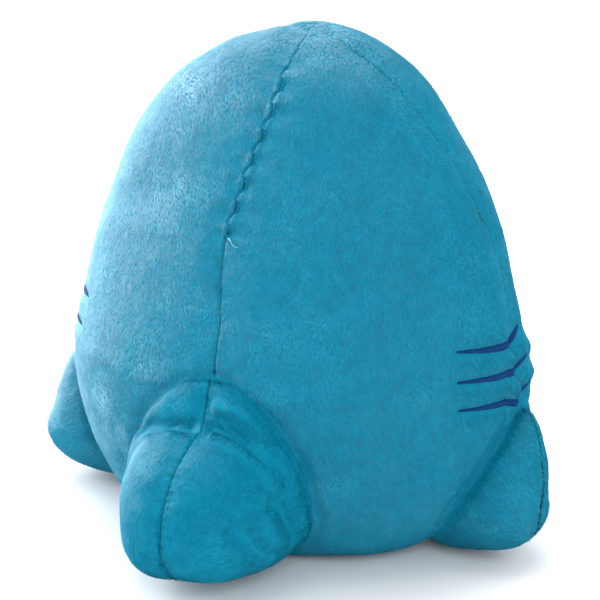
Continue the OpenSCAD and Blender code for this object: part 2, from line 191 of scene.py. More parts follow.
class Line:
    """A polyline that gives each point's distance from it, and how far along it that is."""

    def __init__(self, points, closed=False):
        points = np.asarray(points, float)
        if closed:
            points = np.vstack([points, points[:1]])
        length = length_along(points)
        self.t = np.linspace(0, length[-1], max(8, int(length[-1] / 0.8)))
        self.p = along_path(self.t, length, points)
        self.tree = KDTree(len(self.p))
        for i, p in enumerate(self.p):
            self.tree.insert(p, i)
        self.tree.balance()

    def near(self, points, reach=30.0):
        """Distance from each point, and the length along the line. Beyond reach it is only rough."""
        flat = np.asarray(points, float).reshape(-1, 3)
        q = np.full(len(flat), 99.0)
        t = np.zeros(len(flat))
        low, high = self.p.min(0) - reach, self.p.max(0) + reach
        close = np.nonzero(((flat > low) & (flat < high)).all(1))[0]
        if len(close):
            index = np.array([self.tree.find(p)[1] for p in flat[close].tolist()])
            p = flat[close]
            best = np.full(len(close), 1e9)
            along = np.zeros(len(close))
            for shift in (-1, 0):
                i = np.clip(index + shift, 0, len(self.p) - 2)
                a, b = self.p[i], self.p[i + 1]
                ab = b - a
                f = np.clip(dot(p - a, ab) / np.maximum(dot(ab, ab), 1e-9), 0, 1)
                d = np.linalg.norm(p - a - ab * f[:, None], axis=1)
                better = d < best
                best = np.where(better, d, best)
                along = np.where(better, self.t[i] + f * (self.t[i + 1] - self.t[i]), along)
            q[close] = best
            t[close] = along
        shape = np.asarray(points).shape[:-1]
        return q.reshape(shape), t.reshape(shape)

    def at(self, t):
        return along_path(t, self.t, self.p)


# ---------------------------------------------------------------- outline of the stuffed body


def level(z):
    """Half width, back depth, belly depth and middle of the level at height z."""
    t = np.clip((z - WAIST) / (BODY_H - WAIST), 0, 1)
    q = np.clip((WAIST - z) / WAIST, 0, 1)
    low = BASE + (1 - BASE) * power(1 - power(q, BASE_P), 1 / BASE_P)
    upper = z > WAIST
    return (
        HALF_W * np.where(upper, np.sqrt(1 - power(t, SIDE_P)), low),
        BACK * np.where(upper, np.sqrt(1 - power(t, BACK_P)), low),
        BELLY * np.where(upper, np.sqrt(1 - power(t, FRONT_P)), low),
        BODY_Y - 1 - LEAN * power(t, 1.5),
    )


def height(e):
    """Height of elevation e on the body, from -90 at the base to 90 at the top."""
    s = np.sin(np.radians(e))
    up = WAIST + (BODY_H - WAIST) * power(s, 1.11)
    down = WAIST - WAIST * power(-s, 2 / BASE_P)
    return np.where(s > 0, up, down)


def seam_wander(z):
    """How far the back seam strays to the side, and the side seams to the back, at height z."""
    back = 3.4 * bell(z - 106, 15) - 3.0 * smooth(z, 126, 150)
    side = 6.0 * smooth(z, 124, 150) - 5.0 * bell(z - 88, 22)
    side -= 1.5 * bell(z - 58, 14) + 6.5 * bell(z - 53, 11)
    return back, side


def at_height(u, z):
    """Point of the body's outline at turn u and height z."""
    u, z = np.broadcast_arrays(np.asarray(u, float), np.asarray(z, float))
    a, back, belly, middle = level(z)
    s, c = np.sin(np.radians(u)), np.cos(np.radians(u))
    stray, shift = seam_wander(z)
    # near the crown the left side seam runs forward, and the right one runs back
    shift = shift - 11.0 * (c > 0) * smooth(z, 124, 150)
    turn = shift / np.maximum(back, 12) * c * np.abs(c) - stray / np.maximum(a, 12) * power(s, 6)
    s, c = np.sin(np.radians(u) + turn), np.cos(np.radians(u) + turn)
    sway = 0.8 * bell(z - 134, 22)
    return np.stack([a * c + sway, middle + np.where(s > 0, back, belly) * s, z], -1)


def skin(u, e):
    """Point of the body's outline at turn u and elevation e."""
    return at_height(u, height(np.asarray(e, float)))


def back_y(x, z):
    """How far back the body reaches, x from its middle at height z."""
    a, back, _, middle = level(z)
    return middle + back * np.sqrt(np.maximum(0, 1 - (x / a) ** 2))


def side_x(y, z):
    """How far to the side the body reaches, at y and height z."""
    a, back, belly, middle = level(z)
    r = np.where(y > middle, back, belly)
    return a * np.sqrt(np.maximum(0, 1 - ((y - middle) / r) ** 2))


def tail_skin(w, s):
    """w degrees round the tail (0 is +X, 90 is the top), s degrees along it from its seam."""
    w, s = np.broadcast_arrays(np.asarray(w, float), np.asarray(s, float))
    sw, cw = np.sin(np.radians(w)), np.cos(np.radians(w))
    inside = np.minimum(s, 0)
    s = np.maximum(s, 0)
    along = power(np.sin(np.radians(s)), 2 / TAIL_P)
    closing = power(np.cos(np.radians(s)), 2 / TAIL_P)
    arch = np.where(sw > 0, TAIL_TOP - TAIL_MID, TAIL_MID - LIFTED)
    lump = np.where(sw > 0, TAIL_LUMP - TAIL_MID, TAIL_MID - LIFTED)
    # the lump is fuller than the arch, and hangs a little to one side
    k = smooth(along, 0, 0.45)
    side = np.sign(cw) * np.abs(cw) ** (1.2 - 0.4 * k)
    rise = np.sign(sw) * np.abs(sw) ** (1 - 0.2 * k)
    foot = back_y(TAIL_ROOT_W * np.sign(cw) * np.abs(cw) ** 1.2, TAIL_MID + arch * sw)
    x = (TAIL_ROOT_W + (TAIL_LUMP_W - TAIL_ROOT_W) * k) * side
    z = arch + (lump - arch) * smooth(along, 0, 0.25)
    y = foot + (TAIL_TIP - foot) * along + inside * 0.4
    return np.stack([x * closing - 2.0 * k, y, TAIL_MID + z * rise * closing], -1)


def fin_skin(w, s):
    """The +X fin: w degrees round it (0 is the back, 90 the top), s degrees out from the body."""
    w, s = np.broadcast_arrays(np.asarray(w, float), np.asarray(s, float))
    sw, cw = np.sin(np.radians(w)), np.cos(np.radians(w))
    inside = np.minimum(s, 0)
    s = np.maximum(s, 0)
    p = 3.0 - 0.9 * smooth(sw, -0.3, 0.5)
    along = power(np.sin(np.radians(s)), 2 / p)
    closing = power(np.cos(np.radians(s)), 2 / p)
    rise = np.where(sw > 0, FIN_TOP - FIN_MID, FIN_MID - LIFTED) * sw
    y = FIN_T * cw - 0.4 * np.maximum(rise, 0)
    foot = side_x(BODY_Y + y, FIN_MID + rise)
    x = foot + (FIN_TIP - foot) * along + inside * 0.4
    y = BODY_Y + y * closing + FIN_SWEEP * along**2
    return np.stack([x, y, FIN_MID + rise * closing], -1)


def belly_edge(s):
    """Turn and elevation of the belly panel's edge, s degrees along it."""
    c, q = np.cos(np.radians(s)), np.sin(np.radians(s))
    turn = FRONT - BELLY_TURN * np.sign(c) * np.abs(c) ** (2 / BELLY_P)
    return turn, -90 + BELLY_RISE * power(q, 2 / BELLY_P)


def belly_start(u):
    """Elevation where the front panel starts above the belly, for each turn."""
    k = np.clip(np.abs(u - FRONT) / BELLY_TURN, 0, 1)
    return np.where(k < 1, -90 + BELLY_RISE * power(1 - k**BELLY_P, 1 / BELLY_P), -90)


# ---------------------------------------------------------------- seams

FLIP = np.array([-1.0, 1.0, 1.0])
SIDES = ((1, "left"), (-1, "right"))
# Elevations, turns and angles along a limb through which the seams' lines run.
E = np.linspace(-90, 89.6, 400)
ROUND = np.linspace(0, 360, 241)[:-1]
back_seam = Line(skin(REAR, E))
side_seams = {1: Line(skin(LEFT, E)), -1: Line(skin(RIGHT, E))}
belly_seam = Line(skin(*belly_edge(np.linspace(0, 180, 181))))
base_seam = Line(skin(ROUND, -90.0), closed=True)
tail_foot = Line(tail_skin(ROUND, 0.0), closed=True)
S = np.linspace(0, 89.9, 120)
tail_seam = Line(np.vstack([tail_skin(90.0, S), tail_skin(-90.0, S[::-1])]))
fin_foot = fin_skin(ROUND, 0.0)
fin_edge = np.vstack([fin_skin(90.0, S), fin_skin(-90.0, S[::-1])])
fin_feet = {1: Line(fin_foot, closed=True), -1: Line(fin_foot * FLIP, closed=True)}
fin_seams = {1: Line(fin_edge), -1: Line(fin_edge * FLIP)}


def seam_shape(q, t, p, seed, roll=1.2, valley=0.7, wide=6.0):
    """How far the fabric sits below the plain outline, q from a seam and t along it."""
    x = np.clip(roll - q, 0, roll)
    depth = roll - np.sqrt(np.maximum(roll**2 - x**2, 0))
    depth += valley * bell(q, wide)
    wave = 0.5 + 0.5 * np.cos(2 * np.pi * t / 3.0 + 2.0 * noise(p, 9, seed))
    depth += 0.16 * wave * bell(q, 2.6)
    depth += 0.32 * noise(p, 5.5, seed + 1) * bell(q, 7.0)
    return depth


def fabric_unevenness(p):
    """Soft lumps of the filling and of the fabric."""
    return 0.75 * noise(p, 26, 5) + 0.3 * noise(p, 11, 6) + 0.1 * noise(p, 4, 7)


def gill_line(row, side, rear):
    """Centre line of one run of gill stitching, as turns and heights, from the side seam."""
    f = np.linspace(0, 1, 60)
    length = 0.4 + (GILL_REAR[side][row] if rear else GILL_FRONT) * f
    z = GILL_Z[row] + (GILL_RISE[row] if rear else GILL_FRONT_RISE) * f
    _, back, belly, _ = level(np.asarray(GILL_Z[row]))
    turn = np.degrees(length / back) if rear else -np.degrees(length / belly)
    return turn if side > 0 else RIGHT - turn, z, f


gills = {}
for side, _ in SIDES:
    for row in range(len(GILL_NAMES)):
        for rear in (True, False):
            u, z, _ = gill_line(row, side, rear)
            gills[(row, side, rear)] = Line(at_height(u, z))


# Height, half width and strength of the bulges between the gill lines.
GILL_BULGES = ((78.0, 3.6, 0.25), (67.4, 3.2, 1.0), (57.4, 3.4, 1.0), (46.0, 5.0, 1.4))
# A shallow dent across the left of the back.
dent_line = Line(at_height(np.array([30, 42, 50, 60.0]), np.array([107, 111, 113, 116.0])))


def closing_relief(p, q, t):
    """Each hand stitch pinches the seam to one side, and the fabric swells between stitches."""
    low, high = CLOSING
    hand = smooth(p[..., 2], low - 2, low + 1) * (1 - smooth(p[..., 2], high - 1, high + 2))
    hand = hand * (p[..., 1] > BODY_Y)
    phase = 2 * np.pi * (p[..., 2] - low) / CLOSING_STEP
    beside = np.where(p[..., 0] > back_seam.at(t)[..., 0], 1.0, -1.0)
    pinch = np.cos(phase + 1.4 * beside)
    firm = 0.7 + 0.6 * noise(np.stack([t * 0, t * 0, t], -1), 6, 15)
    out = 0.55 * bell(q, 1.4) - 0.6 * firm * np.maximum(pinch, 0) ** 3 * bell(q - 0.7, 1.2)
    return hand * (out - 0.25 * pinch * bell(q, 4.0) - 0.25 * np.cos(phase) * bell(q, 7.0))


def gill_relief(p, side, q):
    """The fabric bulges between the gill lines, which pull it in, most of all ahead of the seam."""
    y, z = p[..., 1], p[..., 2]
    own = (p[..., 0] * side > 0) * 1.0
    ahead = own * smooth(BODY_Y - 1 - y, 0, 3)
    between = sum(strength * bell(z - middle, half) for middle, half, strength in GILL_BULGES)
    out = between * (1.6 * bell(q - 8, 9) * ahead + 1.0 * bell(q, 7) * (own - ahead))
    return out + 3.4 * bell(z - 54, 16) * bell(q - 12, 13) * ahead


def filling_relief(p):
    """Where the filling sits unevenly: the flanks, the crown, a left shoulder and a left cheek."""
    x, y, z = p[..., 0], p[..., 1], p[..., 2]
    flank = bell(np.abs(x) - 66, 12) * bell(z - 72, 26) * smooth(y, BODY_Y, BODY_Y + 14)
    crown = 1.7 * bell(z - 151, 13) - 1.4 * bell(x - 17, 9) * smooth(z, 158, 164)
    shoulder = 2.2 * bell(x - 53, 20) * bell(z - 133, 16)
    cheek = 1.6 * bell(z - 55, 14) * bell(y - 12, 20) * smooth(x, 20, 50)
    return crown + shoulder + cheek - 1.7 * flank - 0.6 * bell(dent_line.near(p)[0], 7)


def body_relief(p):
    """Outward move of the body's skin from its plain outline, in millimetres."""
    out = fabric_unevenness(p) + filling_relief(p) - PILE_DEPTH
    q, t = back_seam.near(p)
    out -= seam_shape(q, t, p, valley=0.8, wide=8.0, seed=11)
    out += closing_relief(p, q, t)
    for side, line in side_seams.items():
        q, t = line.near(p)
        out -= seam_shape(q, t, p, valley=0.9, wide=4.5, seed=20 + side)
        out += gill_relief(p, side, q)
    out -= seam_shape(*belly_seam.near(p), p, seed=31)
    out -= seam_shape(*base_seam.near(p), p, valley=0.3, wide=4.0, seed=41)
    q = tail_foot.near(p)[0]
    out -= 0.9 * bell(q, 2.2) + 0.25 * noise(p, 4, 50) * bell(q, 8)
    for line in fin_feet.values():
        q = line.near(p)[0]
        out -= 0.8 * bell(q, 2.2) + 0.25 * noise(p, 4, 51) * bell(q, 8)
    for line in gills.values():
        out -= 0.9 * bell(line.near(p, 8.0)[0], 2.2)
    return out


# Creases and folds of the slack fabric at the tail: points (degrees round, degrees along), depth
# or height, and width.
TAIL_CREASES = [
    ([(28, 3), (40, 5), (60, 8.5), (76, 10), (90, 10)], 2.7, 2.3),
    ([(90, 10.5), (103, 9), (118, 8), (130, 8)], 1.9, 1.8),
    ([(158, 20), (166, 16), (178, 13), (200, 7)], 1.6, 2.4),
    ([(163, 48), (172, 41), (182, 34), (196, 24), (204, 16)], 1.4, 2.8),
    ([(215, 40), (226, 30), (234, 18)], 1.1, 3.0),
]
TAIL_FOLDS = [
    ([(50, 17), (66, 18), (84, 18)], 1.0, 4.0),
    ([(92, 6.5), (106, 5), (122, 4.2), (138, 4.2)], 1.9, 1.8),
    ([(92, 13.5), (109, 12), (125, 11), (142, 10), (158, 11)], 1.7, 2.1),
    ([(165, 22), (178, 18), (194, 12)], 1.2, 2.6),
    ([(172, 52), (186, 42), (200, 30)], 0.8, 3.0),
]


def spline(points):
    """A smooth curve through a few (a, b) points."""
    points = np.array(points, float)
    at = np.linspace(0, len(points) - 1, 60)
    i = np.clip(np.floor(at).astype(int), 0, len(points) - 2)
    f = (at - i)[:, None]
    slope = np.gradient(points, axis=0)
    a, b, da, db = points[i], points[i + 1], slope[i], slope[i + 1]
    return (
        (2 * f**3 - 3 * f**2 + 1) * a
        + (f**3 - 2 * f**2 + f) * da
        + (3 * f**2 - 2 * f**3) * b
        + (f**3 - f**2) * db
    )


tail_marks = []
for marks, sign in ((TAIL_CREASES, -1), (TAIL_FOLDS, 1)):
    for points, depth, width in marks:
        c = spline(points)
        tail_marks.append((Line(tail_skin(c[:, 0], c[:, 1])), sign * depth, width))


def tail_relief(p):
    """Outward move of the tail's skin: seams, creases and folds, and a fuller lower side."""
    out = -PILE_DEPTH + 0.5 * noise(p, 17, 61) + 0.22 * noise(p, 7, 62) + 0.1 * noise(p, 3.5, 63)
    out -= seam_shape(*tail_seam.near(p), p, roll=1.0, valley=0.6, wide=5.0, seed=64)
    out -= 1.2 * bell(tail_foot.near(p)[0], 2.4)
    for line, depth, width in tail_marks:
        q, t = line.near(p, 10.0)
        fade = smooth(t, 0, 4) * (1 - smooth(t, line.t[-1] - 5, line.t[-1]))
        out += depth * bell(q, width) * fade
    return out + 2.0 * bell(np.linalg.norm(p - np.array([6, 70, 4.0]), axis=-1), 12)


def fin_relief(side):
    """The relief of one fin's skin: seams, a fuller or flatter top, and gathers at its foot."""

    def relief(p):
        out = -PILE_DEPTH + 0.4 * noise(p, 15, 71) + 0.18 * noise(p, 6, 72) + 0.08 * noise(p, 3.5, 73)
        out -= seam_shape(*fin_seams[side].near(p), p, roll=0.8, valley=0.5, wide=4.0, seed=74)
        q = fin_feet[side].near(p)[0]
        out -= 1.1 * bell(q, 2.2)
        out += side * 1.4 * bell(p[..., 2] - 44, 9) * smooth(np.abs(p[..., 0]), 72, 84)
        out -= 0.3 * (0.5 + 0.5 * np.cos(p[..., 2] * 0.9 + 2 * noise(p, 8, 75))) * bell(q, 7)
        return out

    return relief


# ---------------------------------------------------------------- surfaces and meshes


def grid_normals(p, flip=False):
    """Outward directions on a grid of points; where rows meet in a point, the row before's."""
    n = np.cross(np.gradient(p, axis=0), np.gradient(p, axis=1))
    if flip:
        n = -n
    size = np.linalg.norm(n, axis=-1)
    for j in range(1, p.shape[1]):
        bad = size[:, j] < 1e-9
        n[bad, j] = n[bad, j - 1]
    return unit(n)


# Distances from a seam, in mm, at which a grid has its first rows.
NEAR_SEAM = (0, 0.3, 0.7, 1.15, 1.65, 2.2, 2.8, 3.5, 4.3, 5.2)


def spaced(start, end, length, step, edges=(True, True)):
    """Parameter values from start to end, step mm apart over length mm, closer near seams."""
    low = NEAR_SEAM if edges[0] else (0,)
    high = NEAR_SEAM if edges[1] else (0,)
    count = max(2, int((length - low[-1] - high[-1]) / step))
    middle = np.linspace(low[-1], length - high[-1], count)
    at = np.concatenate([low[:-1], middle, [length - x for x in high[:-1][::-1]]])
    return start + (end - start) * at / length


def add_mesh(name, verts, faces, owner, material, slots=None):
    """One object from points in mm and a face array, placed by its owner: body pieces ride on the
    body.
    """
    verts = np.asarray(verts, float) * MM
    faces = np.asarray(faces, np.int64)
    mesh = bpy.data.meshes.new(name)
    n, k = faces.shape
    mesh.vertices.add(len(verts))
    mesh.vertices.foreach_set("co", verts.astype(np.float32).ravel())
    mesh.loops.add(n * k)
    mesh.loops.foreach_set("vertex_index", faces.astype(np.int32).ravel())
    mesh.polygons.add(n)
    mesh.polygons.foreach_set("loop_start", np.arange(0, n * k, k, dtype=np.int32))
    for m in material if isinstance(material, list) else [material]:
        mesh.materials.append(m)
    if slots is not None:
        mesh.polygons.foreach_set("material_index", np.asarray(slots, np.int32))
    mesh.polygons.foreach_set("use_smooth", np.ones(n, bool))
    mesh.update(calc_edges=True)
    mesh.validate()
    ob = bpy.data.objects.new(name, mesh)
    bpy.context.scene.collection.objects.link(ob)
    attach(ob, owner)
    return ob


def attach(ob, owner):
    """Rides on the body; a tail's or a fin's piece only has its place baked into its mesh."""
    if owner == "body":
        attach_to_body(ob, "body")
    elif owner == "tail":
        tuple(TAIL_BEND[0])
        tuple(TAIL_BEND[1])
        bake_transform(ob)
    else:
        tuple(FIN_BEND[owner][0])
        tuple(FIN_BEND[owner][1])
        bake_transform(ob)


def bend_line(a, b, length):
    """Start and end points of a line square to the line a-b in mm, both at the same side."""
    a, b = np.array(a, float), np.array(b, float)
    along = unit(b - a)
    out = np.array([math.copysign(1, a[0]) if a[0] else 0.0, 0.0 if a[0] else 1.0, 0.0])
    out = unit(out - along * dot(out, along))
    middle = (a + b) / 2
    return tuple(middle * MM), tuple((middle + out * length) * MM)


# Short lines square to lines through the tail's and the fins' feet, from the floor to their tops.
TAIL_BEND = bend_line((0, 22, 0), (0, 42, TAIL_TOP), 36)
FIN_BEND = {
    f"fin_{word}": bend_line((side * 51, BODY_Y, 0), (side * 79, BODY_Y, FIN_TOP), 22)
    for side, word in SIDES
}

# The outer points and directions of each panel, and what it belongs to.
grids = {}


def panel(
    name, owner, points, normals, relief, material, flip=False, outward=None, thick=FABRIC
):
    """A closed fabric shell on a grid of points, moved by its relief."""
    move = relief(points) if callable(relief) else relief
    outer = points + normals * move[..., None]
    if outward is None:
        outward = grid_normals(outer, flip)
    inner = outer - outward * thick
    n, m = outer.shape[:2]
    index = np.arange(n * m).reshape(n, m)
    a, b, c, d = index[:-1, :-1], index[1:, :-1], index[1:, 1:], index[:-1, 1:]
    front = np.stack([a, b, c, d], -1).reshape(-1, 4)
    back = front[:, ::-1] + n * m
    # the fabric's cut edges
    rims = []
    for edge in (index[:, 0], index[-1, :], index[::-1, -1], index[0, ::-1]):
        p, q = edge[:-1], edge[1:]
        rims.append(np.stack([q, p, p + n * m, q + n * m], -1))
    faces = np.vstack([front, back, *rims])
    if flip:
        faces = faces[:, ::-1]
    verts = np.vstack([outer.reshape(-1, 3), inner.reshape(-1, 3)])
    ob = add_mesh(name + "_fabric", verts, faces, owner, material)
    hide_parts(name)
    grids[name] = (outer, outward, owner)


# ---------------------------------------------------------------- materials


def principled(name, colour, roughness, **values):
    """A Principled material; the values are its inputs, with _ for a space."""
    m = bpy.data.materials.new(name)
    m.use_nodes = True
    b = m.node_tree.nodes["Principled BSDF"]
    b.inputs["Base Color"].default_value = (*colour, 1)
    b.inputs["Roughness"].default_value = roughness
    for key, value in values.items():
        b.inputs[key.replace("_", " ")].default_value = value
    return m


def grained(name, dark, light, size, bump, colour, roughness, **values):
    """A material with noise in its colour and a bump, both in the part's own coordinates."""
    m = principled(name, colour, roughness, **values)
    nodes, links = m.node_tree.nodes, m.node_tree.links
    b = nodes["Principled BSDF"]
    coord = nodes.new("ShaderNodeTexCoord")
    fine = nodes.new("ShaderNodeTexNoise")
    fine.inputs["Scale"].default_value = 1 / (size * MM)
    fine.inputs["Detail"].default_value = 5
    ramp = nodes.new("ShaderNodeValToRGB")
    ramp.color_ramp.elements[0].position = 0.3
    ramp.color_ramp.elements[1].position = 0.7
    ramp.color_ramp.elements[0].color = (*dark, 1)
    ramp.color_ramp.elements[1].color = (*light, 1)
    bumps = nodes.new("ShaderNodeBump")
    bumps.inputs["Strength"].default_value = bump
    bumps.inputs["Distance"].default_value = 0.0004
    links.new(coord.outputs["Object"], fine.inputs["Vector"])
    links.new(fine.outputs["Fac"], ramp.inputs["Fac"])
    links.new(ramp.outputs["Color"], b.inputs["Base Color"])
    links.new(fine.outputs["Fac"], bumps.inputs["Height"])
    links.new(bumps.outputs["Normal"], b.inputs["Normal"])
    return m


BLUE = np.array([0.001, 0.2, 0.325])
PALE = np.array([0.72, 0.78, 0.80])
BLUE_BRUSHED = (0.012, 0.28, 0.41)
PALE_BRUSHED = (0.86, 0.88, 0.88)
# Share of the brushed colour in each shade of pile.
SHADES = (0.0, 0.1, 0.24, 0.42, 0.66, 1.0)


def pile_materials(name, base, brushed, sheen, shine=0.34):
    """Shades of pile from the smooth nap to the paler brushed tips."""
    out = []
    for k, f in enumerate(SHADES):
        colour = np.array(base) * (0.9 + 0.12 * k) * (1 - f) + np.array(brushed) * f
        out.append(
            principled(
                f"{name}_{k}", colour, 0.52, Sheen_Weight=sheen * (0.7 + 0.6 * f),
                Sheen_Roughness=0.35, Sheen_Tint=(0.85, 0.96, 1.0, 1), Specular_IOR_Level=shine,
            )
        )
    return out


blue_pile = pile_materials("blue_pile", BLUE, BLUE_BRUSHED, 0.006)
# The tail's nap shines less than the body's.
tail_pile = pile_materials("blue_tail_pile", BLUE, BLUE_BRUSHED, 0.006, shine=0.08)
pale_pile = pile_materials("pale_pile", PALE, PALE_BRUSHED, 0.2)
blue_backing = grained(
    "blue_backing", BLUE * 0.95, BLUE * 1.2, 1.2, 0.6,
    BLUE, 0.8, Sheen_Weight=0.05, Sheen_Roughness=0.35, Specular_IOR_Level=0.04,
)
pale_backing = grained(
    "pale_backing", PALE * 0.85, PALE, 1.2, 0.6, PALE, 0.8, Sheen_Weight=0.3
)
navy_thread = grained(
    "gill_thread", (0.004, 0.034, 0.13), (0.009, 0.06, 0.21), 0.5, 0.3,
    (0.006, 0.045, 0.17), 0.55, Specular_IOR_Level=0.08,
)
blue_thread = grained(
    "seam_thread", (0.002, 0.12, 0.22), (0.004, 0.18, 0.31), 0.4, 0.3,
    (0.003, 0.15, 0.27), 0.7, Specular_IOR_Level=0.05,
)
pale_thread = grained(
    "closing_thread", (0.08, 0.34, 0.46), (0.2, 0.5, 0.6), 0.4, 0.3, (0.1, 0.4, 0.52), 0.5
)
felt = grained(
    "tooth_felt", (0.76, 0.76, 0.74), (0.9, 0.9, 0.88), 0.5, 0.8,
    (0.85, 0.85, 0.83), 0.9, Sheen_Weight=0.5,
)
fibre = grained(
    "fibre_filling", (0.7, 0.7, 0.69), (0.9, 0.9, 0.89), 1.5, 1.0, (0.85, 0.85, 0.84), 0.9
)
eye_black = grained(
    "eye_plastic", (0.004, 0.004, 0.005), (0.012, 0.012, 0.014), 2.0, 0.02,
    (0.006, 0.006, 0.008), 0.08, Coat_Weight=0.6, Coat_Roughness=0.03,
)
washer_white = grained(
    "washer_plastic", (0.7, 0.7, 0.68), (0.8, 0.8, 0.78), 1.0, 0.1, (0.75, 0.75, 0.73), 0.45
)

# ---------------------------------------------------------------- fabric panels

QUICK = 1.0
STEP = 1.05 * QUICK


def elevations():
    """Elevations from the base to the top, evenly along the skin, closer at both ends."""
    e = np.linspace(-90, 89.5, 1200)
    length = length_along(skin(60.0, e))
    at = spaced(0, length[-1], length[-1], STEP)
    return np.interp(at, length, e)


def lay_panel(surface, us, vs, flip=False):
    """Points and outward directions of a grid on a skin."""
    U, V = np.meshgrid(us, vs, indexing="ij")
    p = surface(U, V)
    return p, grid_normals(p, flip)


def skin_directions(U, V):
    """Directions of the body's skin, plain and with its relief, for a grid whose cells slant."""
    step = 0.35
    ends = (
        skin(np.maximum(U - step, U.min()), V), skin(np.minimum(U + step, U.max()), V),
        skin(U, np.maximum(V - step, V[:, :1])), skin(U, np.minimum(V + step, V[:, -1:])),
    )
    plain = unit(np.cross(ends[1] - ends[0], ends[3] - ends[2]))
    moved = [p + plain * body_relief(p)[..., None] for p in ends]
    return plain, unit(np.cross(moved[1] - moved[0], moved[3] - moved[2]))


# Lengths of the panels' grids: round a quarter of the body, from a side seam to the belly panel,
# up that panel, out to the base seam and round it, round and along the tail, and a fin.
QUARTER, TO_BELLY, UP_BELLY, OVER_BASE, ROUND_BASE = 109.0, 48, 66, 40, 240
ROUND_TAIL, ALONG_TAIL, ROUND_FIN, ALONG_FIN = 132, 72, 92, 40
rows = elevations()
for side, word in SIDES:
    us = spaced(LEFT + SEAM_GAP, REAR - SEAM_GAP, QUARTER, STEP)
    if side < 0:
        us = RIGHT - us[::-1]
    p, n = lay_panel(skin, us, rows)
    panel(f"back_panel_{word}", "body", p, n, body_relief, blue_backing)

# Columns stand evenly along the belly panel's edge, so they crowd where that edge is steep.
s = np.linspace(1, 179, 400)
length = length_along(skin(*belly_edge(s)))
belly_us = belly_edge(np.interp(np.arange(0, length[-1], 1.7 * QUICK), length, s))[0]
belly_us = np.append(belly_us, 2 * FRONT - belly_us[0])
front_us = np.concatenate([
    spaced(RIGHT + SEAM_GAP, belly_us[0] - 0.2, TO_BELLY, STEP, (True, False)), belly_us,
    spaced(belly_us[-1] + 0.2, 360 - SEAM_GAP, TO_BELLY, STEP, (False, True)),
])
# The rows climb over the belly's edge and are level again above this elevation.
LEVEL_FROM = 24.0
lift = np.maximum(0, 1 - (rows + 90) / (LEVEL_FROM + 90))
U = np.repeat(front_us[:, None], len(rows), 1)
over_belly = np.abs(front_us - FRONT) < BELLY_TURN
start = belly_start(front_us) + 90 + BELLY_GAP * over_belly
V = rows[None, :] + start[:, None] * lift[None, :]
plain, outward = skin_directions(U, V)
panel("front_panel", "body", skin(U, V), plain, body_relief, blue_backing, outward=outward)

belly_share = spaced(0, 1, UP_BELLY, STEP)
top = belly_start(belly_us) - BELLY_GAP
U = np.repeat(belly_us[:, None], len(belly_share), 1)
V = -90 + (top[:, None] + 90) * belly_share[None, :]
plain, outward = skin_directions(U, V)
panel("belly_panel", "body", skin(U, V), plain, body_relief, pale_backing, outward=outward)

# The base panel: rings from the middle out to the base seam, flat where the toy sits on it.
BASE_ROLL = 1.6
turns = np.linspace(0, 360, int(ROUND_BASE / STEP))
reach = spaced(0.02, 0.998, OVER_BASE, STEP, (False, True))
edge = skin(turns, -90.0)
middle = np.array([0, BODY_Y - 1, 0.0])
p = middle + (edge[:, None, :] - middle) * reach[None, :, None]
q = base_seam.near(p)[0]
roll = np.clip(BASE_ROLL - q, 0, BASE_ROLL)
dent = BASE_ROLL - np.sqrt(np.maximum(BASE_ROLL**2 - roll**2, 0)) + 0.3 * bell(q, 5)
n = np.broadcast_to(np.array([0, 0, -1.0]), p.shape)
panel("base_panel", "body", p, n, -dent, pale_backing, flip=True)

# The tail's and the fins' grids start a little inside the body, at the angles TUCKED.
TUCKED = [-12, -6]
TAIL_STEP, FIN_STEP = 0.9 * QUICK, 0.85 * QUICK
for side, word in SIDES:
    ends = (-90, 90) if side > 0 else (90, 270)
    us = spaced(*ends, ROUND_TAIL, TAIL_STEP)
    us = np.clip(us, us.min() + SEAM_GAP, us.max() - SEAM_GAP)
    vs = np.concatenate([TUCKED, spaced(0, 89.6, ALONG_TAIL, TAIL_STEP, (True, False))])
    p, n = lay_panel(tail_skin, us, vs, flip=True)
    panel(f"tail_panel_{word}", "tail", p, n, tail_relief, blue_backing, flip=True)

for side, word in SIDES:
    for back in (True, False):
        us = spaced(SEAM_GAP - 90, 90 - SEAM_GAP, ROUND_FIN, FIN_STEP) + (0 if back else 180)
        vs = np.concatenate([TUCKED, spaced(0, 89.6, ALONG_FIN, FIN_STEP, (True, False))])
        p, n = lay_panel(fin_skin, us, vs)
        if side < 0:
            p, n = p * FLIP, n * FLIP
        name = f"fin_{word}_{'back' if back else 'front'}_panel"
        panel(name, f"fin_{word}", p, n, fin_relief(side), blue_backing, flip=side < 0)

# ---------------------------------------------------------------- pile


def mouth_z(u):
    """Height of the mouth's line at turn u."""
    return MOUTH_Z + MOUTH_RISE * ((u - FRONT) / MOUTH_TURN) ** 2


eye_spots = [at_height(FRONT + side * EYE_TURN, EYE_Z) for side, _ in SIDES]


def bare(p):
    """True where something is sewn onto the pile or covers it."""
    hidden = np.zeros(len(p), bool)
    for line in gills.values():
        hidden |= line.near(p, 4.0)[0] < 1.15
    for spot in eye_spots:
        hidden |= np.linalg.norm(p - spot, axis=1) < EYE_R
    turn = np.degrees(np.arctan2(p[:, 1] - BODY_Y, p[:, 0])) % 360
    depth = mouth_z(turn) - p[:, 2]
    hidden |= (np.abs(turn - FRONT) < MOUTH_TURN) & (np.abs(depth) < 0.9)
    hidden |= (np.abs(turn - FRONT) < MOUTH_TURN * 0.8) & (depth > 0) & (depth < 5)
    return hidden


